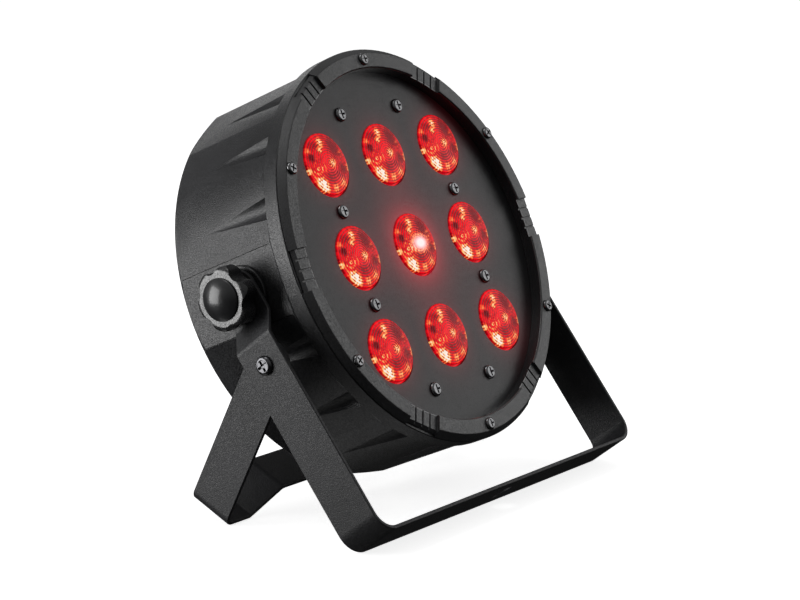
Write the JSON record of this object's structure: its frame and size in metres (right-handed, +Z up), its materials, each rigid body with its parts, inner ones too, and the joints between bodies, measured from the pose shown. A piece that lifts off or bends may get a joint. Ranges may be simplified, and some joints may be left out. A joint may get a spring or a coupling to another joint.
{
  "type": "par can light",
  "caption": "Slim round LED stage light with a faceted drum, lenses behind a bolted ring, star-knob tilt and a folding double bracket for floor or hanging use.",
  "frame": {"origin": "on the floor, at the middle of the whole object's box", "axes": "+X along the tilt axis to the right as seen from behind the light, -Y the way the light shines, +Z up"},
  "size_m": [0.246, 0.1704, 0.223],
  "materials": {
    "bracket_paint": "matte",
    "housing_black": "matte",
    "ring_black": "satin",
    "face_black": "satin",
    "lens_red": "gloss",
    "holder_black": "matte",
    "screw_dark": "polished",
    "screw_bright": "polished",
    "zinc_steel": "satin",
    "brass": "satin",
    "rubber_black": "matte",
    "nylon_black": "satin",
    "knob_plastic": "matte",
    "cap_gloss": "gloss",
    "sink_aluminium": "satin",
    "board_white": "satin",
    "board_green": "satin",
    "emitter_yellow": "gloss",
    "cover_black": "satin",
    "window_smoke": "gloss",
    "display_black": "matte",
    "button_grey": "satin",
    "socket_black": "satin",
    "socket_metal": "satin",
    "transformer_tape": "satin",
    "capacitor_sleeve": "gloss",
    "fuse_glass": "gloss"
  },
  "bodies": {
    "front_bracket": {"front_bracket": "bracket_paint", "bracket_pivot_screws": "screw_bright", "bracket_pivot_nuts": "zinc_steel", "bracket_pivot_washers": "nylon_black"},
    "rear_bracket": {"rear_bracket": "bracket_paint"},
    "head": {"board_posts": "nylon_black", "board_screws": "zinc_steel", "button_switches": "display_black", "control_board": "board_green", "display_module": "display_black", "display_window": "window_smoke", "dmx_input": "socket_black", "dmx_input_pins": "socket_metal", "dmx_output": "socket_black", "drum_housing": "housing_black", "face_gasket": "rubber_black", "face_plate": "face_black", "face_plate_posts": "brass", "face_plate_screws": "screw_dark", "friction_discs": "rubber_black", "front_ring": "ring_black", "heat_sink": "sink_aluminium", "heat_sink_screws": "zinc_steel", "led_board": "board_white", "led_emitters": "emitter_yellow", "lens_bottom_centre": "lens_red", "lens_bottom_left": "lens_red", "lens_bottom_right": "lens_red", "lens_holders": "holder_black", "lens_middle_centre": "lens_red", "lens_middle_left": "lens_red", "lens_middle_right": "lens_red", "lens_top_centre": "lens_red", "lens_top_left": "lens_red", "lens_top_right": "lens_red", "mains_transformer": "transformer_tape", "pivot_inserts": "brass", "pivot_spacers": "nylon_black", "power_board": "board_green", "power_inlet": "socket_black", "power_inlet_pins": "zinc_steel", "power_outlet": "socket_black", "rear_cover": "cover_black", "rear_cover_screws": "screw_dark", "ring_screws": "screw_dark", "safety_eye": "zinc_steel", "smoothing_capacitors": "capacitor_sleeve"},
    "knob_left": {"knob_grip_left": "knob_plastic", "knob_cap_left": "cap_gloss", "knob_stud_left": "zinc_steel"},
    "knob_right": {"knob_grip_right": "knob_plastic", "knob_cap_right": "cap_gloss", "knob_stud_right": "zinc_steel"},
    "button_menu": {"button_menu": "button_grey"},
    "button_down": {"button_down": "button_grey"},
    "button_up": {"button_up": "button_grey"},
    "button_enter": {"button_enter": "button_grey"},
    "output_latch": {"output_latch": "socket_metal"},
    "fuse_drawer": {"fuse_drawer": "socket_black", "fuse": "fuse_glass"}
  },
  "joints": [
    {"name": "head_tilt", "type": "hinge", "parent": "front_bracket", "child": "head", "pos_m": [0, 0.0078, 0.11414], "axis": [-1, 0, 0], "range_deg": [0, 105]},
    {"name": "rear_bracket_fold", "type": "hinge", "parent": "front_bracket", "child": "rear_bracket", "pos_m": [0, -0.01523, 0.08467], "axis": [-1, 0, 0], "range_deg": [0, 63]},
    {"name": "knob_left_turn", "type": "hinge", "parent": "head", "child": "knob_left", "pos_m": [0, 0.0078, 0.11414], "axis": [-1, 0, 0], "continuous": true},
    {"name": "knob_right_turn", "type": "hinge", "parent": "head", "child": "knob_right", "pos_m": [0, 0.0078, 0.11414], "axis": [1, 0, 0], "continuous": true},
    {"name": "button_menu_press", "type": "slide", "parent": "head", "child": "button_menu", "axis": [0, -0.9117, 0.4109], "range_m": [0, 0.0005], "stiffness_N_per_m": 800},
    {"name": "button_down_press", "type": "slide", "parent": "head", "child": "button_down", "axis": [0, -0.9117, 0.4109], "range_m": [0, 0.0005], "stiffness_N_per_m": 800},
    {"name": "button_up_press", "type": "slide", "parent": "head", "child": "button_up", "axis": [0, -0.9117, 0.4109], "range_m": [0, 0.0005], "stiffness_N_per_m": 800},
    {"name": "button_enter_press", "type": "slide", "parent": "head", "child": "button_enter", "axis": [0, -0.9117, 0.4109], "range_m": [0, 0.0005], "stiffness_N_per_m": 800},
    {"name": "output_latch_press", "type": "slide", "parent": "head", "child": "output_latch", "axis": [0, -0.9117, 0.4109], "range_m": [0, 0.001], "stiffness_N_per_m": 400},
    {"name": "fuse_drawer_slide", "type": "slide", "parent": "head", "child": "fuse_drawer", "axis": [0, 0.9117, -0.4109], "range_m": [0, 0.018]}
  ]
}
